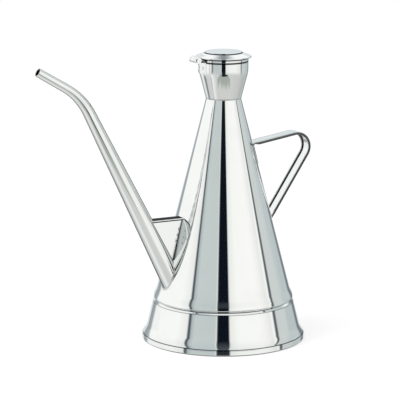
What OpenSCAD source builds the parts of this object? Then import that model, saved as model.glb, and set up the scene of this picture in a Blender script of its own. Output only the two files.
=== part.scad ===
// Pouring can for olive oil: a slender sheet steel cone on a flared base band,
// with a filling cup and hinged lid on top, a long bent spout and a strap handle.
// Origin: centre of the ring that the can stands on. +Z is up, the spout points
// along -X and the handle along +X. All sizes are in millimetres.

/* [Sheet] */
// Thickness of the sheet of the body, band, cup, lid and bottom
sheet = 0.5; // [0.4:0.05:0.7]
// Running and seating clearance between two pieces that move past each other
seat_gap = 0.3; // [0.2:0.05:0.5]

/* [Base] */
// Radius of the rolled rim that the can stands on
rim_r = 55; // [48:0.5:62]
// Height of the upright face of the rolled rim
rim_h = 3.7; // [3.2:0.1:5]
// Width of the rolled rim, measured along the radius
rim_w = 2.4; // [2.2:0.1:3]
// Width of the flat ring under the rim, on which the can stands
foot_flat = 0.6; // [0.4:0.1:0.8]
// Radius of the hollow flare above the rim
flare_r = 14; // [10:0.5:18]
// Slope of the flare from upright where it reaches the rim, in degrees
flare_end = 42.5; // [38:0.5:46]
// Height of the soft step between the rim's upright face and the flare
rim_step = 0.58; // [0.4:0.02:0.8]
// Lean of the band's wall from upright, in degrees
band_lean = 14.2; // [12:0.1:16]
// Height of the outer edge of the band's top lip
lip_z = 25.7; // [22:0.1:30]
// Height of the sloping face of the band's top lip
lip_h = 2.5; // [2:0.1:3.5]
// Height of the band's collar inside the foot of the cone
collar_h = 7.5; // [5:0.5:12]
// Height of the bottom disc's outer step over the ground
disc_z = 3.55; // [3.4:0.05:4.5]
// Width of the flat edge round the raised middle panel of the bottom disc
panel_in = 9.6; // [7:0.2:14]
// Rise of the raised middle panel
panel_rise = 1.1; // [0.8:0.1:2]

/* [Cone] */
// Outer radius of the cone at the neck
neck_r = 11.8; // [10:0.1:14]
// Height of the neck, where the cup is joined to the cone
neck_z = 164.7; // [140:0.5:190]
// How far the cone's foot, under the folded hem, lies inside the edge of the band's lip
foot_in = 0.8; // [0.6:0.05:1]
// Height of the folded hem round the foot of the cone
hem_h = 5; // [4:0.1:7]
// How far the folded hem stands out of the cone
hem_out = 0.8; // [0.5:0.05:1]
// Length of the cone that stands up inside the cup
neck_tongue = 3.2; // [2:0.1:5]

/* [Filling cup] */
// Outer radius of the cup's straight mouth
cup_r = 16.7; // [15.5:0.1:19]
// Height from the neck to the top edge of the cup
cup_h = 27; // [24:0.5:32]
// Lean of the cup's funnel wall from upright, in degrees
cup_lean = 14.8; // [12:0.1:17]
// Radius of the bend from the funnel wall to the straight mouth
cup_bend_r = 25; // [18:0.5:30]
// Height of the half round ring outside the cup's mouth
ring_h = 1.7; // [1.2:0.1:2.2]
// How far that ring stands out of the cup
ring_out = 0.4; // [0.3:0.05:0.8]
// Radius of the lump of weld on the neck seam
weld_lump_r = 1.3; // [1:0.1:1.6]
// Direction of that lump round the neck, in degrees from +X
weld_lump_at = -59; // [-80:1:-20]

/* [Lid] */
// Outer radius of the lid, over its rolled edge
lid_r = 18.8; // [18.4:0.1:20]
// Thickness of the lid's rolled edge
lid_edge = 1; // [0.9:0.1:1.6]
// Outer radius of the lid's sloping shoulder, at its foot on the brim
crown_foot_r = 17.2; // [16.6:0.1:17.4]
// Radius of the flat top of the lid
crown_top_r = 12.4; // [10:0.1:12.8]
// Height of the flat top over the lid's flat brim
crown_h = 2.8; // [2.4:0.1:4]
// Height of the small step between the shoulder and the flat top
crown_step = 0.9; // [0.8:0.1:1.2]
// Clearance between the plug ring under the lid and the cup, on the radius
plug_gap = 0.6; // [0.5:0.05:0.9]
// How far the plug ring reaches below the brim
plug_h = 5; // [4:0.1:6]

/* [Hinge] */
// Distance of the hinge pin from the can's axis
hinge_x = 21.2; // [21:0.1:23]
// Radius of the hinge pin
pin_r = 0.9; // [0.8:0.05:1.1]
// Clearance between the pin and the knuckles, on the radius
pin_gap = 0.05; // [0.03:0.01:0.08]
// Distance from the can's axis to the inner end of the leaf on the lid
leaf_in_r = 14.4; // [14:0.1:15]
// Length of the lid's middle knuckle
knuckle_w = 5; // [4:0.1:6]
// Length of each of the bracket's two knuckles
side_knuckle_w = 2.6; // [2:0.1:3]
// Side play between neighbouring knuckles
knuckle_gap = 0.2; // [0.15:0.05:0.3]
// Thickness of the two hinge leaves
leaf_t = 0.6; // [0.5:0.05:0.7]
// Thickness of the heads on the pin's two ends
head_t = 0.6; // [0.5:0.1:1]
// Length of the bracket's leaf down the side of the cup
bracket_h = 8; // [6:0.5:10]

/* [Spout] */
// Wall thickness of the spout
spout_wall = 0.5; // [0.4:0.05:0.6]
// Height of the middle of the spout's root on the cone
root_z = 48.9; // [46:0.1:56]
// Slope of the spout's long lower part over the horizontal, in degrees
spout_rise = 63.2; // [60:0.1:66]
// Slope of the spout's tip part over the horizontal, in degrees
tip_rise = 31; // [25:0.5:40]
// Length of the lower part, from the root to the corner of the two slopes
lower_len = 138.1; // [120:0.1:150]
// Length of the tip part, from the corner of the two slopes to the end
tip_len = 35.2; // [28:0.1:45]
// Radius of the bend, on the spout's centre line
bend_r = 45; // [35:0.5:55]
// Outer radius of the spout at its root
root_r = 7.3; // [6.5:0.1:7.6]
// Outer radius of the spout in the bend
bend_tube_r = 3.6; // [3.3:0.1:4]
// Outer radius of the spout at its tip
tip_r = 2.9; // [2.6:0.1:3.1]
// Leg of the weld seam round the spout's root
root_weld = 0.8; // [0.6:0.1:1.2]

/* [Spout brace] */
// Thickness of the brace's sheet
brace_t = 0.6; // [0.5:0.05:0.8]
// Height of the brace's level top plate
brace_top_z = 86; // [80:0.5:92]
// Width over the brace's two side plates
brace_w = 9; // [8:0.1:11]
// Radius of the bends between the top plate and the side plates
brace_bend_r = 1.2; // [0.9:0.1:2]
// Width over the two flanges that lie on the cone
flange_w = 24.4; // [22:0.2:26]
// Height of the lower tips of the two flanges
flange_tip_z = 50; // [48:0.5:54]
// Radius of the flanges' upper corners
flange_top_r = 8; // [7:0.1:8.2]
// Height at which the flanges begin to narrow to their lower tips
flange_turn_z = 70; // [66:0.5:74]
// Radius of the spot welds on the flanges
spot_r = 1.1; // [0.8:0.1:1.3]
// How far a spot weld stands up
spot_h = 0.25; // [0.2:0.05:0.4]

/* [Handle] */
// Thickness of the handle's strap
strap_t = 0.8; // [0.7:0.05:1.1]
// Width of the handle's strap
strap_w = 12; // [10:0.5:15]
// Half the width and half the depth of the rolled edges along the strap
edge_r = 0.95; // [0.8:0.05:1.2]
// Height at which the upper arm's middle line meets the cone
upper_z = 132.3; // [125:0.1:138]
// Height at which the lower arm's middle line meets the cone
lower_z = 79; // [74:0.1:84]
// Slope of the upper arm over the horizontal, in degrees
upper_rise = 8.8; // [5:0.1:12]
// Slope of the lower arm over the horizontal, in degrees
lower_rise = 56.5; // [52:0.1:60]
// Radius of the handle's bend, on the strap's middle line
handle_bend_r = 10.1; // [8:0.1:13]
// Length of the upper tab down the cone
upper_tab = 14; // [10:0.5:18]
// Length of the lower tab down the cone
lower_tab = 7; // [5:0.5:10]
// Leg of the weld seams at the ends of the tabs
tab_weld = 0.8; // [0.6:0.1:1]

/* [Hidden] */

$fn = 96;
// Overshoot of a cutting tool past the surface that it cuts
past = 2;
// Number of straight steps in an arc of an outline
arc_steps = 8;
// Length by which the spout's straight pieces run into its bend, to make one solid
lap = 0.3;
// How much slimmer they are than the bend where they run into it
lap_step = 0.03;
// Size of the two spot welds on the lid's leaf beside the other spot welds
small_spot = 0.8;
// Facets of a body that trims a very thin piece
fine = 360;

// The flare ends just inside the rim's face, and the band's wall runs out of it at the waist
flare_foot = [rim_r - sheet / 2, rim_h + rim_step];
flare_centre = flare_foot + flare_r * [cos(flare_end), sin(flare_end)];
waist = flare_centre - flare_r * [cos(band_lean), sin(band_lean)];
lip_r = waist.x - (lip_z - waist.y) * tan(band_lean);

// The cone's straight outer line, as a radius at any height
foot_z = lip_z + lip_h;
foot_r = lip_r - foot_in;
cone_slope = (foot_r - neck_r) / (neck_z - foot_z);
function cone_r(z) = neck_r + (neck_z - z) * cone_slope;
cone_top_z = neck_z + neck_tongue;

// The filling cup, from its foot on the cone to its top edge
cup_foot_z = neck_z + sheet;
cup_foot_r = cone_r(cup_foot_z) + sheet;
cup_top_z = neck_z + cup_h;
cup_bend_rise = cup_bend_r * sin(cup_lean);
cup_bend_z = cup_foot_z + (cup_r - cup_foot_r - cup_bend_r * (1 - cos(cup_lean))) / tan(cup_lean)
    + cup_bend_rise;

// The lid rests one seat gap above the cup's edge
brim_low_z = cup_top_z + seat_gap;
brim_z = brim_low_z + lid_edge;
crown_z = brim_z + crown_h;
plug_r = cup_r - sheet - plug_gap;

// The hinge: the lid's leaf lies on the brim and curls round the pin
knuckle_r = pin_r + pin_gap + 2 * leaf_t;
pin_z = brim_z + leaf_t - knuckle_r;
hinge_half_w = knuckle_w / 2 + knuckle_gap + side_knuckle_w;
bore_r = pin_r + pin_gap;

// The spout's centre line: root, bend from one slope to the other, tip
root = [-cone_r(root_z), root_z];
lower_dir = [-cos(spout_rise), sin(spout_rise)];
tip_dir = [-cos(tip_rise), sin(tip_rise)];
bend_turn = spout_rise - tip_rise;
bend_reach = bend_r * tan(bend_turn / 2);
corner = root + lower_dir * lower_len;
bend_start = corner - lower_dir * bend_reach;
bend_end = corner + tip_dir * bend_reach;
bend_centre = bend_start + bend_r * [-sin(spout_rise), -cos(spout_rise)];
straight_len = lower_len - bend_reach;
tip_straight = tip_len - bend_reach;
root_taper = (root_r - bend_tube_r) / straight_len;

// The handle's middle line: two arms and the bend between them
upper_root = [cone_r(upper_z), upper_z];
lower_root = [cone_r(lower_z), lower_z];
upper_dir = [cos(upper_rise), sin(upper_rise)];
lower_arm_dir = [cos(lower_rise), sin(lower_rise)];
root_span = lower_root - upper_root;
arm_cross = upper_dir.x * lower_arm_dir.y - upper_dir.y * lower_arm_dir.x;
upper_arm = (root_span.x * lower_arm_dir.y - root_span.y * lower_arm_dir.x) / arm_cross;
handle_turn = 180 - (lower_rise - upper_rise);
handle_reach = handle_bend_r * tan(handle_turn / 2);
handle_bend_centre = upper_root + upper_dir * (upper_arm - handle_reach)
    + handle_bend_r * [sin(upper_rise), -cos(upper_rise)];
upper_tab_z = upper_z - upper_tab * cos(atan(cone_slope));
lower_tab_z = lower_z - lower_tab * cos(atan(cone_slope));

// Points of an arc round c from angle a0 to a1, both ends included
function arc(c, r, a0, a1, n = arc_steps) =
    [for (i = [0:n]) c + r * [cos(a0 + (a1 - a0) * i / n), sin(a0 + (a1 - a0) * i / n)]];
// Unit normal on the left of the step from a to b
function left_of(a, b) = [a.y - b.y, b.x - a.x] / norm(b - a);
// A line of points moved t to its left, with its corners kept sharp
function moved_left(line, t) =
    [for (i = [0:len(line) - 1])
        let (before = left_of(line[max(i - 1, 0)], line[max(i, 1)]),
            after = left_of(line[min(i, len(line) - 2)], line[min(i + 1, len(line) - 1)]))
        line[i] + t * (before + after) / (1 + before * after)];
function reversed(line) = [for (i = [len(line) - 1:-1:0]) line[i]];
// Outline of a sheet: one face is the line itself, the other lies t to its left
function sheet_outline(line, t) = concat(line, reversed(moved_left(line, t)));

// Turns a flat profile of radius and height round the can's axis
module turned(outline) {
    rotate_extrude() polygon(outline);
}

// Lays a flat shape drawn in X and Z into the can, w wide across its middle plane
module across(w) {
    translate([0, w / 2, 0]) rotate([90, 0, 0]) linear_extrude(w) children();
}

// Everything inside the cone's outer surface, grown by t along the radius
module cone_body(t = 0) {
    turned([[0, 0], [cone_r(0) + t, 0], [cone_r(cone_top_z) + t, cone_top_z], [0, cone_top_z]]);
}

module spout_lower(t, below) {
    // Frustum along the lower slope, t smaller than the outer surface, run below the root
    start = root - lower_dir * below;
    translate([start.x, 0, start.y]) rotate([0, spout_rise - 90, 0])
        cylinder(h = straight_len + below + lap, r1 = root_r + root_taper * below - t,
            r2 = bend_tube_r - lap_step - t);
}

module spout_bend(t) {
    translate([bend_centre.x, 0, bend_centre.y]) rotate([90, 0, 0]) rotate([0, 0, 90 - spout_rise])
        rotate_extrude(angle = bend_turn) translate([bend_r, 0]) circle(r = bend_tube_r - t);
}

module spout_tip(t, beyond = 0) {
    start = bend_end - tip_dir * lap;
    translate([start.x, 0, start.y]) rotate([0, tip_rise - 90, 0])
        cylinder(h = tip_straight + lap + beyond, r1 = bend_tube_r - lap_step - t,
            r2 = tip_r - t - beyond * (bend_tube_r - tip_r) / tip_straight);
}

// The spout as a full rod, t smaller than its outer surface
module spout_rod(t, below, beyond = 0) {
    spout_lower(t, below);
    spout_bend(t);
    spout_tip(t, beyond);
}

// Depth that the lower slope needs to pass through the whole wall of the cone
root_depth = 3 * root_r;

// Wall of the cone with its folded hem: up the inside, down the outside, round the hem
hem_low = foot_z + (hem_out + sheet) / 2;
hem_high = foot_z + hem_h - hem_out / 2;
cone_outline = concat(
    [[cone_r(cone_top_z) - sheet, cone_top_z], [cone_r(cone_top_z), cone_top_z]],
    arc([cone_r(hem_high) + hem_out / 2, hem_high], hem_out / 2, 180, 0),
    arc([cone_r(hem_low) + (hem_out - sheet) / 2, hem_low], (hem_out + sheet) / 2, 0, -180));

module cone_shell() {
    color("gainsboro") difference() {
        turned(cone_outline);
        spout_lower(spout_wall, root_depth);
    }
}

// Outer face of the base band, from the collar inside the cone down to the hook in the rim
collar_foot_z = foot_z + hem_out / 2;
rim_corner = (rim_w - foot_flat) / 2;
band_line = concat(
    [[cone_r(foot_z + collar_h) - sheet, foot_z + collar_h],
        [cone_r(collar_foot_z) - sheet, collar_foot_z],
        [lip_r, lip_z]],
    arc(flare_centre, flare_r, 180 + band_lean, 180 + flare_end),
    [[rim_r, rim_h]],
    arc([rim_r - rim_corner, rim_corner], rim_corner, 0, -90),
    arc([rim_r - rim_w + rim_corner, rim_corner], rim_corner, -90, -180),
    [[rim_r - rim_w, disc_z - sheet]]);

module base_band() {
    color("silver") turned(sheet_outline(band_line, -sheet));
}

// The bottom disc's edge turns down into the hook of the rolled rim
disc_edge_r = rim_r - rim_w + 2 * sheet;
panel_r = disc_edge_r - panel_in;
disc_line = [[disc_edge_r, 2 * sheet], [disc_edge_r, disc_z], [panel_r + 2 * panel_rise, disc_z],
    [panel_r, disc_z + panel_rise], [0, disc_z + panel_rise]];

module bottom_disc() {
    color("darkgray") turned(sheet_outline(disc_line, sheet));
}

module rim_seal_ring() {
    color("dimgray")
        turned([[disc_edge_r, 2 * sheet], [rim_r - sheet, 2 * sheet],
            [rim_r - sheet, rim_h - sheet], [disc_edge_r, disc_z]]);
}

module cone_joint_solder() {
    top = foot_z + collar_h;
    color("lightslategray")
        turned([[cone_r(top) - 2 * sheet, top], [cone_r(top) - sheet, top],
            [cone_r(top + 2 * sheet) - sheet, top + 2 * sheet]]);
}

// Outer face of the filling cup, from its foot to its top edge
cup_line = concat([[cup_foot_r, cup_foot_z]],
    arc([cup_r - cup_bend_r, cup_bend_z], cup_bend_r, -cup_lean, 0),
    [[cup_r, cup_top_z]]);

module filling_cup() {
    color("silver") turned(sheet_outline(cup_line, sheet));
}

// A half round ring: an arc over a chord, ring_h tall and ring_out proud
ring_arc_r = (ring_h * ring_h / 4 + ring_out * ring_out) / (2 * ring_out);
ring_half = asin(ring_h / 2 / ring_arc_r);

module cup_rim_ring() {
    centre = [cup_r + ring_out - ring_arc_r, cup_top_z - ring_h / 2];
    color("whitesmoke") turned(arc(centre, ring_arc_r, -ring_half, ring_half));
}

module neck_weld() {
    seam_low = cup_foot_z - 2 * sheet;
    color("lightslategray") difference() {
        union() {
            turned([[cone_r(seam_low), seam_low], [cup_foot_r, cup_foot_z],
                [cone_r(cup_foot_z), cup_foot_z]]);
            rotate([0, 0, weld_lump_at]) translate([cup_foot_r - sheet, 0, cup_foot_z])
                sphere(r = weld_lump_r);
        }
        cone_body();
        turned(concat([[0, cup_foot_z]], cup_line, [[0, cup_top_z]]));
    }
}

module spout_tube() {
    color("silver") difference() {
        spout_rod(0, root_depth);
        spout_rod(spout_wall, root_depth + past, past);
        cone_body();
    }
}

module root_seam(t) {
    // The part of a thicker spout that lies in a thin layer on the cone
    intersection() {
        spout_lower(-t, root_depth);
        cone_body(t);
    }
}

module spout_root_weld() {
    color("lightslategray") difference() {
        root_seam(root_weld);
        spout_lower(0, root_depth + past);
        cone_body();
    }
}

module brace_fold(t) {
    // Cross-section of the folded brace in Y and Z, t inside its outer faces
    half = brace_w / 2 - t;
    r = brace_bend_r - t;
    top = brace_top_z - t;
    translate([-half, 0]) square([2 * half, top - r]);
    translate([-half + r, 0]) square([2 * half - 2 * r, top]);
    for (side = [-1, 1]) translate([side * (half - r), top - r]) circle(r = r);
}

// Outline of one flange in Y and Z: round top corner, straight side, tapering tip
flange_half = flange_w / 2;
tip_half = brace_w / 2;
flange_drop = flange_turn_z - flange_tip_z;
flange_in = flange_half - tip_half;
flange_tip_r = (flange_in * flange_in + flange_drop * flange_drop) / (2 * flange_in);
flange_shape = concat(
    [[tip_half - brace_t, flange_tip_z], [tip_half - brace_t, brace_top_z]],
    arc([flange_half - flange_top_r, brace_top_z - flange_top_r], flange_top_r, 90, 0),
    arc([flange_half - flange_tip_r, flange_turn_z], flange_tip_r, 0,
        -asin(flange_drop / flange_tip_r)));

module from_the_side() {
    // Draws a flat shape in Y and Z, and sweeps it from the axis out past the spout
    rotate([0, 0, 180]) rotate([90, 0, 90]) linear_extrude(-corner.x) children();
}

module spout_brace() {
    color("silver") difference() {
        union() {
            intersection() {
                from_the_side() difference() {
                    brace_fold(0);
                    brace_fold(brace_t);
                }
                across(brace_w) polygon([root + lower_dir * (brace_top_z - root_z) / sin(spout_rise),
                    root, [0, root_z], [0, brace_top_z]]);
            }
            intersection() {
                from_the_side() for (side = [0, 1]) mirror([side, 0]) polygon(flange_shape);
                cone_body(brace_t);
            }
        }
        cone_body();
        spout_lower(0, root_depth);
        root_seam(root_weld);
    }
}

module brace_spot_welds() {
    lean = atan(cone_slope);
    at_y = (flange_half + tip_half) / 2;
    color("lightslategray") difference() {
        for (side = [-1, 1]) for (z = [flange_turn_z, (flange_turn_z + brace_top_z - flange_top_r) / 2,
                brace_top_z - flange_top_r]) {
            turn = asin(at_y / cone_r(z));
            rotate([0, 0, 180 + side * turn]) translate([cone_r(z) + brace_t, 0, z])
                rotate([0, 90 - lean, 0]) translate([0, 0, -spot_r])
                    cylinder(h = spot_r + spot_h, r = spot_r);
        }
        cone_body(brace_t, $fn = fine);
    }
}

// The handle's middle line, run on a little way inside the cone at both ends
handle_line = concat([upper_root - upper_dir * strap_w],
    arc(handle_bend_centre, handle_bend_r, 90 + upper_rise, lower_rise - 90, 2 * arc_steps),
    [lower_root - lower_arm_dir * strap_w]);

module handle_ribbon(low, high, at_y, w) {
    // Strip between two distances from the middle line, counted outwards, w wide
    translate([0, at_y, 0]) across(w)
        polygon(concat(moved_left(handle_line, high), reversed(moved_left(handle_line, low))));
}

module cone_tab(low, high) {
    // A tab as wide as the strap, bent to lie on the cone on the handle's side
    intersection() {
        cone_body(strap_t);
        translate([0, -strap_w / 2, low]) cube([foot_r, strap_w, high - low]);
    }
}

module handle_strap() {
    color("silver") difference() {
        union() {
            handle_ribbon(-strap_t / 2, strap_t / 2, 0, strap_w);
            for (side = [-1, 1])
                handle_ribbon(strap_t / 2 - 2 * edge_r, strap_t / 2,
                    side * (strap_w / 2 - edge_r), 2 * edge_r);
            cone_tab(upper_tab_z, upper_z);
            cone_tab(lower_tab_z, lower_z);
        }
        cone_body();
    }
}

module tab_seam(z) {
    // Weld fillet under the lower edge of a tab
    half_angle = asin(strap_w / 2 / (cone_r(z) + strap_t));
    rotate([0, 0, -half_angle]) rotate_extrude(angle = 2 * half_angle)
        polygon([[cone_r(z), z], [cone_r(z - tab_weld), z - tab_weld], [cone_r(z) + tab_weld, z]]);
}

module handle_upper_weld() {
    color("lightslategray") tab_seam(upper_tab_z);
}

module handle_lower_weld() {
    color("lightslategray") tab_seam(lower_tab_z);
}

module pin_rod(r, half) {
    // A rod on the hinge's axis
    translate([-hinge_x, half, pin_z]) rotate([90, 0, 0]) cylinder(h = 2 * half, r = r);
}

// The cup's outer face grown by the thickness of the bracket's leaf
bracket_face = moved_left(cup_line, -leaf_t);
bracket_top_z = cup_top_z - ring_h - seat_gap;

module hinge_bracket() {
    arm_root = [-cup_r - leaf_t, bracket_top_z - leaf_t];
    color("silver") difference() {
        union() {
            intersection() {
                turned(concat([[0, cup_foot_z]], bracket_face, [[0, cup_top_z]]));
                translate([-hinge_x, -hinge_half_w, bracket_top_z - bracket_h])
                    cube([hinge_x, 2 * hinge_half_w, bracket_h]);
            }
            across(2 * hinge_half_w) {
                polygon([arm_root + [leaf_t, 0], arm_root + [leaf_t, leaf_t], arm_root + [0, leaf_t],
                    [-hinge_x, pin_z - bore_r - leaf_t], [-hinge_x, pin_z - knuckle_r], arm_root]);
                translate([-hinge_x, pin_z]) circle(r = knuckle_r);
            }
        }
        turned(concat([[0, cup_foot_z]], cup_line, [[0, cup_top_z]]));
        pin_rod(bore_r, hinge_half_w + past);
        pin_rod(knuckle_r + seat_gap, knuckle_w / 2 + knuckle_gap);
    }
}

module hinge_bracket_welds() {
    z = bracket_top_z - bracket_h / 2;
    at_y = hinge_half_w / 2;
    color("lightslategray") difference() {
        for (side = [-1, 1]) translate([-cup_r - leaf_t - spot_h, side * at_y, z]) rotate([0, 90, 0])
            cylinder(h = 2 * spot_r, r = spot_r);
        turned(concat([[0, cup_foot_z]], bracket_face, [[0, cup_top_z]]), $fn = fine);
    }
}

module hinge_pin() {
    color("gray") union() {
        pin_rod(pin_r, hinge_half_w + knuckle_gap);
        for (side = [0, 1]) mirror([0, side, 0])
            translate([-hinge_x, hinge_half_w + knuckle_gap + head_t, pin_z]) rotate([90, 0, 0])
                cylinder(h = head_t, r = pin_r + leaf_t);
    }
}

// Upper face of the lid, from the rolled edge to the middle of the flat top
crown_foot = [crown_foot_r, brim_z];
shoulder_top = [crown_top_r + crown_step / 2, crown_z - crown_step];
edge_round = crown_step / 2;
lid_line = concat([[lid_r - lid_edge / 2, brim_z], crown_foot, shoulder_top],
    arc([crown_top_r - edge_round, crown_z - edge_round], edge_round, 0, 90), [[0, crown_z]]);

module lid_cover() {
    color("gainsboro") rotate_extrude() {
        polygon(sheet_outline(lid_line, sheet));
        translate([lid_r - lid_edge / 2, brim_z - lid_edge / 2]) circle(r = lid_edge / 2);
    }
}

module lid_plug_ring() {
    top = brim_z - sheet;
    seam_r = lid_r - lid_edge;
    color("darkgray") turned([[plug_r - sheet, brim_z - plug_h - sheet], [plug_r, brim_z - plug_h - sheet],
        [plug_r, top - sheet], [seam_r, top - sheet], [seam_r, top], [plug_r - sheet, top]]);
}

// The leaf's underside follows the lid: level over the brim, then up the shoulder
leaf_line = [[hinge_x + past, brim_z], crown_foot, shoulder_top];
leaf_top_line = moved_left(leaf_line, -leaf_t);

module lid_hinge_leaf() {
    color("silver") difference() {
        union() {
            intersection() {
                translate([-hinge_x, -knuckle_w / 2, brim_z])
                    cube([hinge_x - leaf_in_r, knuckle_w, crown_h + leaf_t]);
                turned(sheet_outline(leaf_line, -leaf_t));
            }
            pin_rod(knuckle_r, knuckle_w / 2);
        }
        pin_rod(bore_r, knuckle_w);
    }
}

module lid_leaf_welds() {
    rise = shoulder_top - crown_foot;
    at = crown_foot + rise / 3;
    color("lightslategray") difference() {
        for (side = [-1, 1]) rotate([0, 0, side * asin(knuckle_w / 4 / at.x)])
            translate([-at.x, 0, at.y]) rotate([0, -atan(-rise.y / rise.x), 0])
                cylinder(h = leaf_t + spot_h, r = spot_r * small_spot);
        turned(concat([[0, cup_top_z], [hinge_x + past, cup_top_z]], leaf_top_line,
            [[0, crown_z]]), $fn = fine);
    }
}

cone_shell();
base_band();
bottom_disc();
rim_seal_ring();
cone_joint_solder();
filling_cup();
cup_rim_ring();
neck_weld();
spout_tube();
spout_root_weld();
spout_brace();
brace_spot_welds();
handle_strap();
handle_upper_weld();
handle_lower_weld();
hinge_bracket();
hinge_bracket_welds();
hinge_pin();
lid_cover();
lid_plug_ring();
lid_hinge_leaf();
lid_leaf_welds();
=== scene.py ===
# %% [markdown]
# # A pouring can for olive oil
# The can is made of thin steel sheet, polished like a mirror: a slender cone on
# a flared band, a small filling cup with a hinged lid, a long spout with a brace
# and a strap handle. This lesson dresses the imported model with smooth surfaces.
# A mirror shows every dent in a mesh, so each surface is worked out from its
# formula, and its normals are worked out with it instead of being averaged.

import bpy
import numpy as np
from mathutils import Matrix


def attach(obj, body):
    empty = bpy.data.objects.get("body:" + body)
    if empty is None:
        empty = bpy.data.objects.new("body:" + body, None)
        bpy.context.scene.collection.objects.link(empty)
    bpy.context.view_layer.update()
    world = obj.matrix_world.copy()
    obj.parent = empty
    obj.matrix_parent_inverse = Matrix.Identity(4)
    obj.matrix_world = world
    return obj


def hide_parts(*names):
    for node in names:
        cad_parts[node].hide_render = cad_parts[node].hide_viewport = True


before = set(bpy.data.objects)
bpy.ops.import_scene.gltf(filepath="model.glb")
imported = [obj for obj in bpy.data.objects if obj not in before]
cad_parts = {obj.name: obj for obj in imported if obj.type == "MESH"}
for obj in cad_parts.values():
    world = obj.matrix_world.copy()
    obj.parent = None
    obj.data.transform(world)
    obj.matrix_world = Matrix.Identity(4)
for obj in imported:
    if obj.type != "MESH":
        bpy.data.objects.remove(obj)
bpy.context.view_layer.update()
MM = 0.001

# %% [markdown]
# ## The sizes
# These are the sizes of the real can in millimetres, the same that the packed
# model was built with. Heights run up from the table, and the spout points to -X.

# %% Sizes
SHEET = 0.5
RIM_R, RIM_H, RIM_W = 55.0, 3.7, 2.4
FLARE_R, WAIST_R, WAIST_Z, BAND_LEAN = 14.0, 51.5, 10.3, np.radians(14.2)
LIP_Z, LIP_H, COLLAR_H = 25.7, 2.5, 7.5
NECK_R, NECK_Z, FOOT_R, FOOT_Z = 11.8, 164.7, 46.8, 28.2
HEM_H, HEM_OUT, CONE_TOP_Z = 5.0, 0.8, 167.9
CONE_SLOPE = (FOOT_R - NECK_R) / (NECK_Z - FOOT_Z)
CUP_FOOT_Z, CUP_R, CUP_TOP_Z = 165.2, 16.7, 191.7
CUP_LEAN, CUP_BEND_R = np.radians(14.8), 25.0
BRIM_LOW_Z, BRIM_Z, CROWN_Z = 192.0, 193.0, 195.8


def cone_r(z):
    """Outer radius of the cone at height z: NECK_R + (NECK_Z - z) * CONE_SLOPE."""
    return NECK_R + (NECK_Z - z) * CONE_SLOPE


print("cone: radius", round(cone_r(FOOT_Z), 2), "at its foot and", NECK_R, "at the neck")

# %% [markdown]
# ## Outlines with round corners
# Sheet metal has no sharp corners, and in a mirror a corner without a radius
# looks like paper. An outline is given by its corners and one radius for each.
# The arc at a corner comes with its exact normals, which the mesh keeps.


# %% Rounded outlines
def unit(v):
    """Each vector over its own length."""
    return v / np.linalg.norm(v, axis=-1, keepdims=True)


def rounded(corners, radius, steps=6, closed=True):
    """Corners joined by lines, with an arc of the given radius at each.

    A corner turns the line by the angle w. Its arc starts radius * tan(|w| / 2)
    before the corner. Its normals turn from the right-hand side of one line to
    that of the next, and each point is centre + sign(w) * radius * normal.
    """
    p = np.asarray(corners, float)
    back = np.roll(p, 1, 0)
    ahead = np.roll(p, -1, 0)
    if not closed:
        back[0] = 2 * p[0] - p[1]
        ahead[-1] = 2 * p[-1] - p[-2]
    along_in, along_out = unit(p - back), unit(ahead - p)
    turn = np.arctan2(
        along_in[:, 0] * along_out[:, 1] - along_in[:, 1] * along_out[:, 0],
        (along_in * along_out).sum(1),
    )
    r = np.broadcast_to(np.asarray(radius, float), len(p))
    side_in = np.stack([along_in[:, 1], -along_in[:, 0]], 1)
    start = p - along_in * (r * np.tan(abs(turn) / 2))[:, None]
    bulge = (np.sign(turn) * r)[:, None]
    centre = start - bulge * side_in
    angle = turn[:, None] * np.linspace(0, 1, steps)
    cos, sin = np.cos(angle), np.sin(angle)
    nx = side_in[:, :1] * cos - side_in[:, 1:] * sin
    ny = side_in[:, :1] * sin + side_in[:, 1:] * cos
    normals = np.stack([nx, ny], -1)
    points = centre[:, None] + bulge[:, None] * normals
    points, normals = points.reshape(-1, 2), normals.reshape(-1, 2)
    if not closed:
        points, normals = points[steps - 1 : 1 - steps], normals[steps - 1 : 1 - steps]
    return points, normals


# %% [markdown]
# ## From points to pieces
# One function turns arrays into a mesh. It works out the enclosed volume and
# turns the faces round where that comes out negative, so faces point outwards.


# %% Mesh helpers
def grid_faces(rows, columns, wrap_rows=False, wrap_columns=False, first=0):
    """Quads between neighbours of a grid whose point (i, j) has number i * columns + j."""
    i = np.arange(rows - (not wrap_rows))[:, None]
    j = np.arange(columns - (not wrap_columns))[None, :]
    i2, j2 = (i + 1) % rows, (j + 1) % columns
    corners = [i * columns + j, i * columns + j2, i2 * columns + j2, i2 * columns + j]
    return first + np.stack(np.broadcast_arrays(*corners), -1).reshape(-1, 4)


def enclosed_volume(points, faces):
    """Sum over the faces' triangles of p0 . (p1 x p2) / 6."""
    total = 0.0
    for corners in faces:
        for k in range(1, corners.shape[1] - 1):
            a, b, c = points[corners[:, 0]], points[corners[:, k]], points[corners[:, k + 1]]
            total += (a * np.cross(b, c)).sum() / 6
    return total


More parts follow.
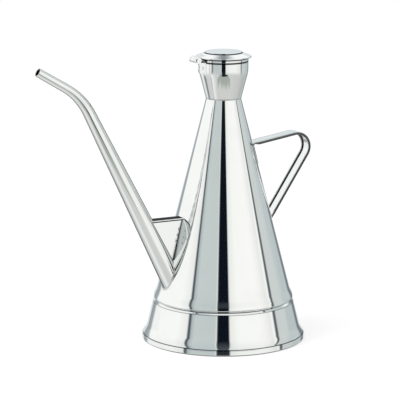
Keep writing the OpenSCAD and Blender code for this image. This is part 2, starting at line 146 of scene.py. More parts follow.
def piece(name, points, faces, finish, body, nodes=(), normals=None, crease=40):
    """A finished piece from points in millimetres and arrays of equal-sided faces."""
    points = np.asarray(points, float).reshape(-1, 3)
    faces = [np.atleast_2d(f) for f in faces]
    if enclosed_volume(points, faces) < 0:
        faces = [f[:, ::-1] for f in faces]
    counts = np.concatenate([np.full(len(f), f.shape[1]) for f in faces])
    mesh = bpy.data.meshes.new(name)
    mesh.vertices.add(len(points))
    mesh.vertices.foreach_set("co", (points * MM).ravel())
    mesh.loops.add(int(counts.sum()))
    mesh.loops.foreach_set("vertex_index", np.concatenate([f.ravel() for f in faces]))
    mesh.polygons.add(len(counts))
    mesh.polygons.foreach_set("loop_start", np.concatenate([[0], np.cumsum(counts)[:-1]]))
    mesh.update(calc_edges=True)
    mesh.polygons.foreach_set("use_smooth", np.ones(len(counts), bool))
    if normals is None:
        mesh.set_sharp_from_angle(angle=np.radians(crease))
    else:
        mesh.normals_split_custom_set_from_vertices(unit(normals.reshape(-1, 3)))
    thing = bpy.data.objects.new(name, mesh)
    bpy.context.scene.collection.objects.link(thing)
    mesh.materials.append(bpy.data.materials[finish])
    if nodes:
        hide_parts(*nodes)
    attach(thing, body)
    print(f"{name}: {len(points)} points, {len(counts)} faces")
    return thing


def turned(name, outline, finish, body, nodes=(), around=256, ripple=None):
    """An outline of radius and height turned round the can's axis.

    Point (k, j) is (r_k cos a_j, r_k sin a_j, z_k) with a_j = 2 pi j / around.
    An outline that starts and ends on the axis is closed there by fans.
    """
    (rz, n) = outline
    a = 2 * np.pi * np.arange(around) / around
    on_axis = rz[0, 0] < 1e-6
    ring, ring_n = (rz[1:-1], n[1:-1]) if on_axis else (rz, n)
    r, z = ring[:, :1], ring[:, 1:]
    grid = np.stack(np.broadcast_arrays(r * np.cos(a), r * np.sin(a), z + 0 * a), -1)
    nr, nz = ring_n[:, :1], ring_n[:, 1:]
    grid_n = np.stack(np.broadcast_arrays(nr * np.cos(a), nr * np.sin(a), nz + 0 * a), -1)
    if ripple is not None:
        grid = grid + grid_n * ripple(r, z, a)[..., None]
    points, normals = grid.reshape(-1, 3), grid_n.reshape(-1, 3)
    faces = [grid_faces(len(ring), around, not on_axis, True)]
    if on_axis:
        last = len(points)
        j = np.arange(around)
        low = np.stack([np.full(around, last), (j + 1) % around, j], 1)
        top_row = (len(ring) - 1) * around
        high = np.stack([np.full(around, last + 1), top_row + j, top_row + (j + 1) % around], 1)
        points = np.concatenate([points, [[0, 0, rz[0, 1]], [0, 0, rz[-1, 1]]]])
        normals = np.concatenate([normals, [[0, 0, n[0, 1]], [0, 0, n[-1, 1]]]])
        faces += [low, high]
    return piece(name, points, faces, finish, body, nodes, None if ripple is not None else normals)


# %% [markdown]
# ## Finishes
# All of the can is stainless steel, and only its surface changes: mirror polish
# outside, a satin mill finish inside, and duller metal at the welds. Two groups
# are shared. One gives the fine marks of the polishing wheel, the other the
# smudges and the slow waves that thin sheet keeps after it is bent.


# %% Node helpers
def new_group(name, inputs, outputs):
    """An empty shader node group with named sockets; each input is (name, type, value)."""
    group = bpy.data.node_groups.new(name, "ShaderNodeTree")
    for title, kind, value in inputs:
        socket = group.interface.new_socket(title, in_out="INPUT", socket_type="NodeSocket" + kind)
        if value is not None:
            socket.default_value = value
    for title, kind in outputs:
        group.interface.new_socket(title, in_out="OUTPUT", socket_type="NodeSocket" + kind)
    return group


def add(tree, kind, links=(), **values):
    """A node of a kind, with settings or input values set and inputs linked."""
    node = tree.nodes.new("ShaderNode" + kind)
    for key, value in values.items():
        if hasattr(node, key):
            setattr(node, key, value)
        else:
            node.inputs[int(key[1:]) if key[1:].isdigit() else key].default_value = value
    for socket, source in links:
        tree.links.new(source, node.inputs[socket])
    return node


# %% Polishing marks
def make_polish_marks():
    """Fine streaks: noise that is squeezed along one direction, as a mask and a height."""
    group = new_group(
        "polish marks",
        [("Vector", "Vector", None), ("Length", "Float", 40.0), ("Fineness", "Float", 2500.0)],
        [("Mask", "Float"), ("Height", "Float")],
    )
    tree = group
    source = tree.nodes.new("NodeGroupInput")
    sink = tree.nodes.new("NodeGroupOutput")
    scale = add(tree, "CombineXYZ", [("X", source.outputs["Fineness"]),
        ("Y", source.outputs["Fineness"]), ("Z", source.outputs["Length"])])
    squeezed = add(tree, "VectorMath", [(0, source.outputs["Vector"]), (1, scale.outputs[0])],
        operation="MULTIPLY")
    streaks = add(tree, "TexNoise", [("Vector", squeezed.outputs[0])], Scale=1.0, Detail=3.0)
    mask = add(tree, "MapRange", [("Value", streaks.outputs[0])])
    mask.inputs["From Min"].default_value = 0.35
    mask.inputs["From Max"].default_value = 0.75
    tree.links.new(mask.outputs[0], sink.inputs["Mask"])
    tree.links.new(streaks.outputs[0], sink.inputs["Height"])
    return group


def make_sheet_life():
    """Slow waves of thin sheet as a height, and soft smudges of handling as a mask."""
    group = new_group(
        "sheet life",
        [("Vector", "Vector", None), ("Wave Scale", "Float", 18.0), ("Smudge Scale", "Float", 45.0)],
        [("Smudge", "Float"), ("Wave", "Float")],
    )
    tree = group
    source = tree.nodes.new("NodeGroupInput")
    sink = tree.nodes.new("NodeGroupOutput")
    wave = add(tree, "TexNoise", [("Vector", source.outputs["Vector"]),
        ("Scale", source.outputs["Wave Scale"])], Detail=1.0)
    smudge = add(tree, "TexNoise", [("Vector", source.outputs["Vector"]),
        ("Scale", source.outputs["Smudge Scale"])], Detail=4.0, Roughness=0.6)
    mask = add(tree, "MapRange", [("Value", smudge.outputs[0])])
    mask.inputs["From Min"].default_value = 0.5
    mask.inputs["From Max"].default_value = 0.8
    tree.links.new(mask.outputs[0], sink.inputs["Smudge"])
    tree.links.new(wave.outputs[0], sink.inputs["Wave"])
    return group


# Painted shade: a group that masks narrow dark lines into the steel's colour where sheets meet, in the
# creases and gaps where shade falls.
def make_painted_gap_shade():
    """A line of painted shade where sheets meet: 1 where a coordinate is within a width of a place,
    softly 0 outside.
    """
    group = new_group(
        "painted gap shade",
        [("Coordinate", "Float", None), ("Place", "Float", 0.0), ("Width", "Float", 0.0002)],
        [("Mask", "Float")],
    )
    source = group.nodes.new("NodeGroupInput")
    sink = group.nodes.new("NodeGroupOutput")
    off = add(group, "Math", [(0, source.outputs["Coordinate"]), (1, source.outputs["Place"])],
        operation="SUBTRACT")
    size = add(group, "Math", [(0, off.outputs[0])], operation="ABSOLUTE")
    mask = add(group, "MapRange", [("Value", size.outputs[0]), ("From Min", source.outputs["Width"])],
        interpolation_type="SMOOTHSTEP")
    core = add(group, "Math", [(0, source.outputs["Width"])], operation="MULTIPLY")
    core.inputs[1].default_value = 0.5
    group.links.new(core.outputs[0], mask.inputs["From Max"])
    group.links.new(mask.outputs[0], sink.inputs["Mask"])
    return group


POLISH_MARKS = make_polish_marks()
SHEET_LIFE = make_sheet_life()
PAINTED_GAP_SHADE = make_painted_gap_shade()
print("groups:", POLISH_MARKS.name + ",", SHEET_LIFE.name, "and", PAINTED_GAP_SHADE.name)


# %% Steel finishes
def steel(name, light, dark, gloss, dull, wave=0.0, grain=0.0, shade_lines=(), edge_tint=1.0):
    """Steel whose colour and roughness follow the smudges and the polishing marks, with painted shade
    lines in its colour.

    Each painted shade line is (axis, place, width, share): where the object's coordinate is within the
    width of the place, in millimetres, that share of the steel's colour is painted dark, as the shade
    in a crease or gap.
    The edge tint is what the metal keeps of its shine at a glancing angle.
    """
    material = bpy.data.materials.new(name)
    material.use_nodes = True
    tree = material.node_tree
    shader = tree.nodes["Principled BSDF"]
    shader.inputs["Metallic"].default_value = 1.0
    place = add(tree, "TexCoord")
    marks = add(tree, "Group", node_tree=POLISH_MARKS)
    life = add(tree, "Group", node_tree=SHEET_LIFE)
    for node in (marks, life):
        tree.links.new(place.outputs["Object"], node.inputs["Vector"])
    both = add(tree, "Math", [(0, marks.outputs["Mask"]), (1, life.outputs["Smudge"])],
        operation="MULTIPLY")
    tint = add(tree, "Mix", [("Factor", life.outputs["Smudge"])], data_type="RGBA")
    tint.inputs[6].default_value = (*light, 1)
    tint.inputs[7].default_value = (*dark, 1)
    colour = tint.outputs[2]
    axes = add(tree, "SeparateXYZ", [(0, place.outputs["Object"])])
    wide = add(tree, "Math", [(0, axes.outputs[1])], operation="ABSOLUTE")
    along = {"z": axes.outputs[2], "y": wide.outputs[0]}
    # Each line paints shade into the colour by mixing in near black under its mask.
    for axis, at, width, share in shade_lines:
        shade_line = add(tree, "Group", [("Coordinate", along[axis])], node_tree=PAINTED_GAP_SHADE)
        shade_line.inputs["Place"].default_value = at * MM
        shade_line.inputs["Width"].default_value = width * MM
        part = add(tree, "Math", [(0, shade_line.outputs["Mask"])], operation="MULTIPLY")
        part.inputs[1].default_value = share
        painted_shade = add(tree, "Mix", [("Factor", part.outputs[0]), (6, colour)], data_type="RGBA")
        painted_shade.inputs[7].default_value = (0.02, 0.022, 0.025, 1)
        colour = painted_shade.outputs[2]
    tree.links.new(colour, shader.inputs["Base Color"])
    shader.inputs["Specular Tint"].default_value = (edge_tint, edge_tint, edge_tint, 1)
    rough = add(tree, "MapRange", [("Value", both.outputs[0])])
    rough.inputs["To Min"].default_value = gloss
    rough.inputs["To Max"].default_value = dull
    tree.links.new(rough.outputs[0], shader.inputs["Roughness"])
    slow = add(tree, "Bump", [("Height", life.outputs["Wave"])], Strength=1.0, Distance=wave)
    fine = add(tree, "Bump", [("Height", marks.outputs["Height"]), ("Normal", slow.outputs[0])],
        Strength=1.0, Distance=grain)
    tree.links.new(fine.outputs[0], shader.inputs["Normal"])
    return material


# Painted shade: dark lines at the lid's step and under its edge, under the cup's bead, at the cone's
# hem, at the band's lip, and at the top and foot of the rim.
steel("mirror steel", (0.90, 0.905, 0.90), (0.86, 0.865, 0.86), 0.03, 0.10, wave=2e-5,
    shade_lines=[("z", 195.15, 0.45, 1.0), ("z", 191.75, 0.7, 1.0), ("z", 189.45, 0.75, 0.97),
        ("z", 28.35, 0.36, 0.8), ("z", 26.05, 0.3, 0.65), ("z", 4.2, 0.4, 0.85),
        ("z", 0.35, 0.5, 0.75)])
steel("tube steel", (0.90, 0.905, 0.90), (0.86, 0.865, 0.86), 0.05, 0.12, wave=1e-5, edge_tint=0.08)
# Painted shade: two dark lines along the brace's top fold.
steel("fold steel", (0.90, 0.905, 0.90), (0.86, 0.865, 0.86), 0.06, 0.14, wave=1e-5,
    shade_lines=[("z", 84.95, 0.5, 1.0), ("z", 86.1, 0.3, 0.9)], edge_tint=0.3)
# Painted shade: dark lines along each rolled edge of the handle, at the inner side of the roll and near
# its outer edge.
steel("strap steel", (0.89, 0.895, 0.89), (0.83, 0.835, 0.83), 0.08, 0.18, wave=1e-5,
    shade_lines=[("y", 4.1, 0.3, 0.95), ("y", 5.8, 0.42, 0.9)])
steel("satin steel", (0.74, 0.745, 0.75), (0.66, 0.665, 0.67), 0.24, 0.36, grain=2e-6)
steel("hinge steel", (0.90, 0.905, 0.91), (0.84, 0.845, 0.85), 0.12, 0.22, grain=1e-6)
steel("weld metal", (0.68, 0.68, 0.69), (0.52, 0.53, 0.55), 0.22, 0.42, wave=4e-5, grain=6e-6)

# %% [markdown]
# ## The cone
# The cone is one sheet, rolled up and hemmed at its foot, where it swells out
# over the folded edge. Its outline runs up the outside, over the top edge and
# down the inside.

# %% Cone
hem_at, fillet_at = FOOT_Z + 2.7, FOOT_Z + 6.2
cone_corners = [
    (cone_r(FOOT_Z) - SHEET, FOOT_Z),
    (cone_r(FOOT_Z) + HEM_OUT, FOOT_Z),
    (cone_r(hem_at) + HEM_OUT, hem_at),
    (cone_r(fillet_at), fillet_at),
    (cone_r(CONE_TOP_Z), CONE_TOP_Z),
    (cone_r(CONE_TOP_Z) - SHEET, CONE_TOP_Z),
]
cone_round = [0.3, 0.9, 8.0, 14.0, 0.1, 0.1]
cone_wall = turned("cone_wall", rounded(cone_corners, cone_round), "mirror steel", "can",
    ["cone_shell"])

# %% [markdown]
# ## The base band
# The band leans like the cone, flares out to the rim and is rolled under there.
# Its lip slopes in to the foot of the cone and goes on as a hidden collar.

# %% Base band
lip_r = WAIST_R - (LIP_Z - WAIST_Z) * np.tan(BAND_LEAN)
flare_centre = np.array([WAIST_R + FLARE_R * np.cos(BAND_LEAN), WAIST_Z + FLARE_R * np.sin(BAND_LEAN)])
flare_end = np.arccos((flare_centre[0] - (RIM_R - SHEET / 2)) / FLARE_R)
flare_angle = np.linspace(np.pi + flare_end, np.pi + BAND_LEAN, 15)
flare = flare_centre + FLARE_R * np.stack([np.cos(flare_angle), np.sin(flare_angle)], 1)
flare_n = -np.stack([np.cos(flare_angle), np.sin(flare_angle)], 1)
collar_z = FOOT_Z + HEM_OUT / 2
rim_corner = (RIM_W - 0.6) / 2


def wall_outline(line, line_n, thickness):
    """A sheet's outline: its outer line, then the same line moved in, backwards."""
    inner = (line - thickness * line_n)[::-1]
    return np.concatenate([line, inner]), np.concatenate([line_n, -line_n[::-1]])


rim_line, rim_n = rounded(
    [(RIM_R - RIM_W, 3.05), (RIM_R - RIM_W, 0), (RIM_R, 0), (RIM_R, RIM_H), (54.2, 5.2)],
    [0.1, rim_corner, rim_corner, 1.4, 0.1], closed=False)
lip_line, lip_n = rounded(
    [tuple(flare[-1]), (lip_r, LIP_Z + 0.65), (cone_r(collar_z) - SHEET, LIP_Z + 2.1),
        (cone_r(collar_z) - SHEET, collar_z),
        (cone_r(FOOT_Z + COLLAR_H) - SHEET, FOOT_Z + COLLAR_H)],
    [0.1, 0.3, 0.3, 0.2, 0.1], closed=False)
keep = rim_line[:, 1] < RIM_H + 0.2
band_line = np.concatenate([rim_line[keep], flare[1:-1], lip_line])
band_n = np.concatenate([rim_n[keep], flare_n[1:-1], lip_n])
band_wall = turned("band_wall", wall_outline(band_line, band_n, SHEET), "mirror steel", "can",
    ["base_band"])

# %% [markdown]
# ## The filling cup
# The cup is a short funnel that bends to an upright mouth, with a half round
# bead outside its edge.

# %% Filling cup
cup_foot_r = cone_r(CUP_FOOT_Z) + SHEET
bend_rise = CUP_BEND_R * np.sin(CUP_LEAN)
cup_bend_z = CUP_FOOT_Z + (CUP_R - cup_foot_r - CUP_BEND_R * (1 - np.cos(CUP_LEAN))) / np.tan(
    CUP_LEAN) + bend_rise
cup_angle = np.linspace(-CUP_LEAN, 0, 12)
cup_arc = np.array([CUP_R - CUP_BEND_R, cup_bend_z]) + CUP_BEND_R * np.stack(
    [np.cos(cup_angle), np.sin(cup_angle)], 1)
cup_n = np.stack([np.cos(cup_angle), np.sin(cup_angle)], 1)
cup_line = np.concatenate([[[cup_foot_r, CUP_FOOT_Z]], cup_arc, [[CUP_R, CUP_TOP_Z]]])
cup_line_n = np.concatenate([cup_n[:1], cup_n, cup_n[-1:]])
cup_wall = turned("cup_wall", wall_outline(cup_line, cup_line_n, SHEET), "mirror steel", "can",
    ["filling_cup"])
bead = rounded(
    [(CUP_R - 0.1, CUP_TOP_Z - 1.7), (CUP_R + 0.12, CUP_TOP_Z - 1.7), (CUP_R + 0.12, CUP_TOP_Z),
        (CUP_R - 0.1, CUP_TOP_Z)], [0.05, 0.1, 0.35, 0.05])
cup_bead = turned("cup_bead", bead, "mirror steel", "can", ["cup_rim_ring"])

# %% [markdown]
# ## The lid
# The lid is spun from one disc: a rolled edge, a sloping shoulder, a small step
# and a flat top. A plug ring under it reaches into the cup.

# %% Lid
lid_corners = [
    (0, CROWN_Z), (12.4, CROWN_Z), (12.75, CROWN_Z - 0.82), (18.8, BRIM_Z - 0.15),
    (18.8, BRIM_LOW_Z), (17.7, BRIM_LOW_Z), (17.7, BRIM_Z - 0.35), (12.35, CROWN_Z - 1.3),
    (12.0, CROWN_Z - SHEET), (0, CROWN_Z - SHEET)]
lid_round = [0.1, 0.35, 0.12, 0.42, 0.4, 0.15, 0.2, 0.2, 0.2, 0.1]
lid_top = turned("lid_top", rounded(lid_corners[::-1], lid_round[::-1], closed=False),
    "mirror steel", "lid", ["lid_cover"])
plug_r, plug_top = CUP_R - SHEET - 0.6, BRIM_Z - SHEET
plug = rounded(
    [(plug_r - SHEET, plug_top - 5), (plug_r, plug_top - 5), (plug_r, plug_top - SHEET),
        (17.65, plug_top - SHEET), (17.65, plug_top), (plug_r - SHEET, plug_top)], 0.1)
lid_plug = turned("lid_plug", plug, "satin steel", "lid", ["lid_plug_ring"])

# %% [markdown]
# ## The spout
# The spout is a tapered tube with one bend. Each line along the lower part
# starts where it meets the cone, which halving an interval again and again finds.

# %% Spout
SPOUT_RISE, TIP_RISE = np.radians(63.2), np.radians(31.0)
BEND_R, LOWER_LEN, TIP_LEN = 45.0, 138.1, 35.2
ROOT_R, LOW_BEND_R, HIGH_BEND_R, TIP_R, SPOUT_WALL = 7.3, 4.05, 3.1, 2.9, 0.5
ROOT_Z = 48.9
root = np.array([-cone_r(ROOT_Z), ROOT_Z])
lower_dir = np.array([-np.cos(SPOUT_RISE), np.sin(SPOUT_RISE)])
bend_reach = BEND_R * np.tan((SPOUT_RISE - TIP_RISE) / 2)
straight_len = LOWER_LEN - bend_reach
bend_len = BEND_R * (SPOUT_RISE - TIP_RISE)
spout_len = straight_len + bend_len + TIP_LEN - bend_reach


def spout_radius(s):
    """Outer radius at length s: even tapers joined through the bend.

    In the bend it is the cubic whose ends have the radii and the tapers of the
    two straight parts: h0 r0 + h1 L m0 + h2 r1 + h3 L m1, with Hermite's h.
    """
    low_slope = (LOW_BEND_R - ROOT_R) / straight_len
    high_slope = (TIP_R - HIGH_BEND_R) / (TIP_LEN - bend_reach)
    t = np.clip((s - straight_len) / bend_len, 0, 1)
    bend = (2 * t**3 - 3 * t**2 + 1) * LOW_BEND_R + (3 * t**2 - 2 * t**3) * HIGH_BEND_R
    bend = bend + bend_len * ((t**3 - 2 * t**2 + t) * low_slope + (t**3 - t**2) * high_slope)
    low = np.minimum(s - straight_len, 0) * low_slope
    high = np.maximum(s - straight_len - bend_len, 0) * high_slope
    return bend + low + high


def spout_line(s):
    """Centre and slope of the spout at length s from the root, and its outer radius.

    The slope falls from SPOUT_RISE to TIP_RISE through the bend. The centre is
    the root plus the straight part, then the chord of the arc, then the tip.
    """
    slope = SPOUT_RISE - np.clip(s - straight_len, 0, bend_len) / BEND_R
    first = np.minimum(s, straight_len)
    last = np.maximum(s - straight_len - bend_len, 0)
    x = root[0] - first * np.cos(SPOUT_RISE) - last * np.cos(TIP_RISE)
    x = x - BEND_R * (np.sin(SPOUT_RISE) - np.sin(slope))
    z = root[1] + first * np.sin(SPOUT_RISE) + last * np.sin(TIP_RISE)
    z = z + BEND_R * (np.cos(slope) - np.cos(SPOUT_RISE))
    return x, z, slope, spout_radius(s)


def spout_point(s, a, grow=0.0):
    """Point on the spout at length s and angle a round it: a = 0 is its upper side."""
    x, z, slope, radius = spout_line(s)
    r = radius + grow
    out, side = r * np.cos(a), r * np.sin(a)
    return np.stack(np.broadcast_arrays(x + out * np.sin(slope), side, z + out * np.cos(slope)), -1)


def meets_cone(a, grow=0.0, lift=0.0):
    """Length at which each line of the spout passes the cone's surface moved out by lift."""
    low, high = np.full(a.shape, -19.0), np.full(a.shape, 40.0)
    for _ in range(40):
        middle = (low + high) / 2
        p = spout_point(middle, a, grow)
        outside = np.hypot(p[..., 0], p[..., 1]) > cone_r(p[..., 2]) + lift
        low, high = np.where(outside, low, middle), np.where(outside, middle, high)
    return high


SPOUT_AROUND = 128
a_spout = 2 * np.pi * np.arange(SPOUT_AROUND) / SPOUT_AROUND


def spout_lengths(grow):
    """Lengths of the rows: from the cone to the bend in even shares, then bend and tip."""
    start = meets_cone(a_spout, grow, -0.3)
    lower = start + (straight_len - start) * np.linspace(0, 1, 40)[:, None]
    bend = straight_len + bend_len * np.linspace(0, 1, 33)[1:, None] + 0 * a_spout
    tip = straight_len + bend_len + (spout_len - straight_len - bend_len) * np.linspace(
        0, 1, 9)[1:, None] + 0 * a_spout
    return np.concatenate([lower, bend, tip])


outer_s, inner_s = spout_lengths(0.0), spout_lengths(-SPOUT_WALL)
outer = spout_point(outer_s, a_spout)
inner = spout_point(inner_s, a_spout, -SPOUT_WALL)[::-1]
lip_turn = np.linspace(0, np.pi, 7)[1:-1, None]
lip = spout_point(spout_len + 0.25 * np.sin(lip_turn) + 0 * a_spout, a_spout + 0 * lip_turn,
    -SPOUT_WALL * (1 - np.cos(lip_turn)) / 2)
spout_grid = np.concatenate([outer, lip, inner])
slope = spout_line(outer_s)[2]
taper = (spout_radius(outer_s - 0.01) - spout_radius(outer_s + 0.01)) / 0.02


def tube_normal(slope, a, tilt):
    """Direction away from the centre line, tilted along it by the taper."""
    out = np.stack(np.broadcast_arrays(np.cos(a) * np.sin(slope), np.sin(a) + 0 * slope,
        np.cos(a) * np.cos(slope)), -1)
    along = np.stack([-np.cos(slope), 0 * slope, np.sin(slope)], -1)
    return out + tilt[..., None] * along


outer_n = tube_normal(slope, a_spout, taper)
inner_n = -tube_normal(spout_line(inner_s)[2], a_spout, taper)[::-1]
lip_n = tube_normal(TIP_RISE + 0 * lip_turn + 0 * a_spout, a_spout, 0 * lip_turn + 0 * a_spout)
tip_along = np.array([-np.cos(TIP_RISE), 0, np.sin(TIP_RISE)])
lip_n = np.cos(lip_turn)[..., None] * lip_n + np.sin(lip_turn)[..., None] * tip_along
spout_n = np.concatenate([outer_n, lip_n, inner_n])
spout_pipe = piece("spout_pipe", spout_grid, [grid_faces(len(spout_grid), SPOUT_AROUND, True, True)],
    "tube steel", "can", ["spout_tube"], spout_n)

# %% [markdown]
# ## The weld at the spout's root
# The weld is a hollow fillet. Its section runs from a point on the tube through
# the joint to a point on the cone, as a curve that the joint pulls towards it.

# %% Root weld
leg = 0.8
on_tube = spout_point(meets_cone(a_spout) + leg, a_spout)
joint = spout_point(meets_cone(a_spout), a_spout)
on_cone = spout_point(meets_cone(a_spout, leg), a_spout, leg)
t = np.linspace(0, 1, 8)[:, None, None]
front = (1 - t) ** 2 * on_tube + 2 * t * (1 - t) * joint + t**2 * on_cone
buried = spout_point(meets_cone(a_spout, -0.1, -0.2), a_spout, -0.1)
weld_ring = np.concatenate([front, buried[None]])
root_weld = piece("root_weld", weld_ring, [grid_faces(9, SPOUT_AROUND, True, True)], "weld metal",
    "can", ["spout_root_weld"])

# %% [markdown]
# ## The spout brace
# The brace is one folded sheet: a level top plate, two side plates down to the
# spout's root, and two flanges that lie on the cone. The folded part is a grid
# of the path round the fold and the way from the cone to the spout.

# %% Folded part of the brace
BRACE_TOP_Z, BRACE_W, BRACE_T, BRACE_BEND_R = 86.0, 9.0, 0.6, 1.2
half = BRACE_W / 2


def cone_x(y, z, lift=0.0):
    """X of the cone's surface on the spout's side, at y and z."""
    return -np.sqrt((cone_r(z) + lift) ** 2 - y**2)


def spout_x(y, z, grow=0.0):
    """X at which a level line from the cone enters the spout, found by halving."""
    centre = root[0] - (z - ROOT_Z) / np.tan(SPOUT_RISE)
    low, high = centre, centre + 12.0
    for _ in range(40):
        middle = (low + high) / 2
        dx, dz = middle - root[0], z - root[1]
        s = dx * lower_dir[0] + dz * lower_dir[1]
        off = dx * lower_dir[1] - dz * lower_dir[0]
        inside = np.hypot(off, y) < spout_line(s)[3] + grow
        low, high = np.where(inside, middle, low), np.where(inside, high, middle)
    return low


z_low, z_high = ROOT_Z - 5.0, BRACE_TOP_Z
for _ in range(40):
    middle_z = (z_low + z_high) / 2
    apart = cone_x(half, middle_z) > spout_x(np.float64(half), np.float64(middle_z))
    z_low, z_high = (z_low, middle_z) if apart else (middle_z, z_high)
tip_z = z_high
fold, fold_n = rounded(
    [(half, tip_z), (half, BRACE_TOP_Z), (-half, BRACE_TOP_Z), (-half, tip_z)],
    [0.1, BRACE_BEND_R, BRACE_BEND_R, 0.1], steps=9, closed=False)
side_rows = tip_z + (BRACE_TOP_Z - BRACE_BEND_R - tip_z) * np.linspace(0, 1, 24)[1:-1]
side_path = np.stack([np.full(22, half), side_rows], 1)
side_n = np.stack([np.ones(22), np.zeros(22)], 1)
mirror_y = np.array([-1, 1])
fold = np.concatenate([fold[:1], side_path, fold[1:-1], (side_path * mirror_y)[::-1], fold[-1:]])
fold_n = np.concatenate([fold_n[:1], side_n, fold_n[1:-1], -side_n, fold_n[-1:]])


def fold_grid(path):
    """Grid over the fold path and over the way from inside the cone's skin to the spout."""
    y, z = path[:, :1], path[:, 1:]
    share = np.linspace(0, 1, 12)
    start, end = cone_x(y, z, 0.05), spout_x(y, z, -0.3)
    return np.stack(np.broadcast_arrays(start + (end - start) * share, y + 0 * share,
        z + 0 * share), -1)


face, back = fold_grid(fold), fold_grid(fold - BRACE_T * fold_n)


def plate_faces(rows, columns):
    """Faces of a plate: its front grid, its back grid and the four strips round the edge."""
    n = rows * columns
    index = np.arange(n).reshape(rows, columns)
    loop = np.concatenate([index[0, :-1], index[:-1, -1], index[-1, :0:-1], index[:0:-1, 0]])
    ahead = np.roll(loop, -1)
    front = grid_faces(rows, columns)
    rear = grid_faces(rows, columns, first=n)[:, ::-1]
    edge = np.stack([ahead, loop, loop + n, ahead + n], 1)
    return [np.concatenate([front, rear, edge])]


def plate(name, front, rear, finish, body, nodes=(), edge=0.12):
    """A thin plate from its front and rear grids, with its edges rounded."""
    rows, columns = front.shape[:2]
    thing = piece(name, np.stack([front, rear]), plate_faces(rows, columns), finish, body, nodes)
    bevel = thing.modifiers.new("round edges", "BEVEL")
    bevel.width, bevel.segments, bevel.limit_method = edge * MM, 2, "ANGLE"
    bevel.angle_limit = np.radians(50)
    bevel.harden_normals = True
    return thing


brace_fold = plate("brace_fold", face, back, "fold steel", "can", ["spout_brace"])

# %% Flanges of the brace
FLANGE_HALF, FLANGE_TIP_Z, FLANGE_TURN_Z, FLANGE_TOP_R = 12.2, 50.0, 71.7, 15.4
drop, inward = FLANGE_TURN_Z - FLANGE_TIP_Z, FLANGE_HALF - half
flange_tip_r = (inward**2 + drop**2) / (2 * inward)
flange_top_z = FLANGE_TURN_Z + np.sqrt(2 * FLANGE_TOP_R * inward - inward**2)


def flange_reach(z):
    """Half width of the flanges at height z: FLANGE_HALF less r - sqrt(r^2 - d^2).

    Here d is the height above or below the widest place, and r the radius of
    the arc that leads from there up to the fold or down to the tip.
    """
    low = np.clip(FLANGE_TURN_Z - z, 0, drop)
    high = np.clip(z - FLANGE_TURN_Z, 0, flange_top_z - FLANGE_TURN_Z)
    taper = flange_tip_r - np.sqrt(flange_tip_r**2 - low**2)
    crown = FLANGE_TOP_R - np.sqrt(FLANGE_TOP_R**2 - high**2)
    return FLANGE_HALF - taper - crown


flange_z = np.linspace(FLANGE_TIP_Z, flange_top_z, 60)[:, None]
flange_share = np.linspace(0, 1, 14)
flange_y = half - BRACE_T + (flange_reach(flange_z) + 0.02 - half + BRACE_T) * flange_share
for name, side in (("brace_flange_near", -1), ("brace_flange_far", 1)):
    grids = [np.stack(np.broadcast_arrays(cone_x(flange_y, flange_z, lift), side * flange_y,
        flange_z + 0 * flange_y), -1) for lift in (BRACE_T, 0.02)]
    plate(name, grids[0], grids[1], "mirror steel", "can", ["spout_brace"])

# %% [markdown]
# ## The handle
# The handle is one strap, rolled over along both edges towards the fingers. The
# section changes along the way: on the tabs the rolls are pressed flat, and the
# tab is bent to lie on the cone.

# %% Handle
STRAP_T, STRAP_W, EDGE_R = 0.8, 12.0, 0.95
UPPER_Z, LOWER_Z = 132.3, 79.0
UPPER_RISE, LOWER_RISE, HANDLE_BEND_R = np.radians(8.8), np.radians(56.5), 10.1
UPPER_TAB_Z, LOWER_TAB_Z = 118.74, 72.2


def crossing(p, along_p, q, along_q):
    """Point where the line through p along one direction meets the line through q."""
    turn = along_p[0] * along_q[1] - along_p[1] * along_q[0]
    gap = q - p
    return p + along_p * (gap[0] * along_q[1] - gap[1] * along_q[0]) / turn


cone_along = unit(np.array([-CONE_SLOPE, 1.0]))
lift = STRAP_T / 2 / cone_along[1]
upper_root = np.array([cone_r(UPPER_Z), UPPER_Z])
lower_root = np.array([cone_r(LOWER_Z), LOWER_Z])
upper_along = np.array([np.cos(UPPER_RISE), np.sin(UPPER_RISE)])
lower_along = np.array([np.cos(LOWER_RISE), np.sin(LOWER_RISE)])
tab_line = np.array([cone_r(0) + lift, 0])
handle_corners = np.array([
    [cone_r(UPPER_TAB_Z) + lift, UPPER_TAB_Z],
    crossing(tab_line, cone_along, upper_root, upper_along),
    crossing(upper_root, upper_along, lower_root, lower_along),
    crossing(tab_line, cone_along, lower_root, lower_along),
    [cone_r(LOWER_TAB_Z) + lift, LOWER_TAB_Z]])
strap_line, strap_n = rounded(handle_corners, [0.1, 1.6, HANDLE_BEND_R, 2.2, 0.1], steps=25,
    closed=False)


def divided(line, line_n, longest=2.0):
    """The same line with points added, so that no step is longer than that."""
    step = np.linalg.norm(np.diff(line, axis=0), axis=1)
    at = np.concatenate([[0], np.cumsum(step)])
    count = np.maximum(np.ceil(step / longest), 1)
    parts = np.repeat(at[:-1], count.astype(int))
    first = np.repeat(np.cumsum(count) - count, count.astype(int))
    share = (np.arange(len(parts)) - first) / np.repeat(count, count.astype(int))
    where = np.append(parts + share * np.repeat(step, count.astype(int)), at[-1])
    keep = np.append(np.diff(where) > 1e-6, True)
    where = where[keep]
    return where, *(np.stack([np.interp(where, at, v[:, k]) for k in (0, 1)], 1)
        for v in (line, line_n))


strap_s, strap_line, strap_n = divided(strap_line, strap_n)
strap_n = -unit(strap_n)
near_cone = strap_line[:, 0] - cone_r(strap_line[:, 1])
open_share = np.clip((near_cone - 1.2) / 3.5, 0, 1)
open_share = open_share**2 * (3 - 2 * open_share)


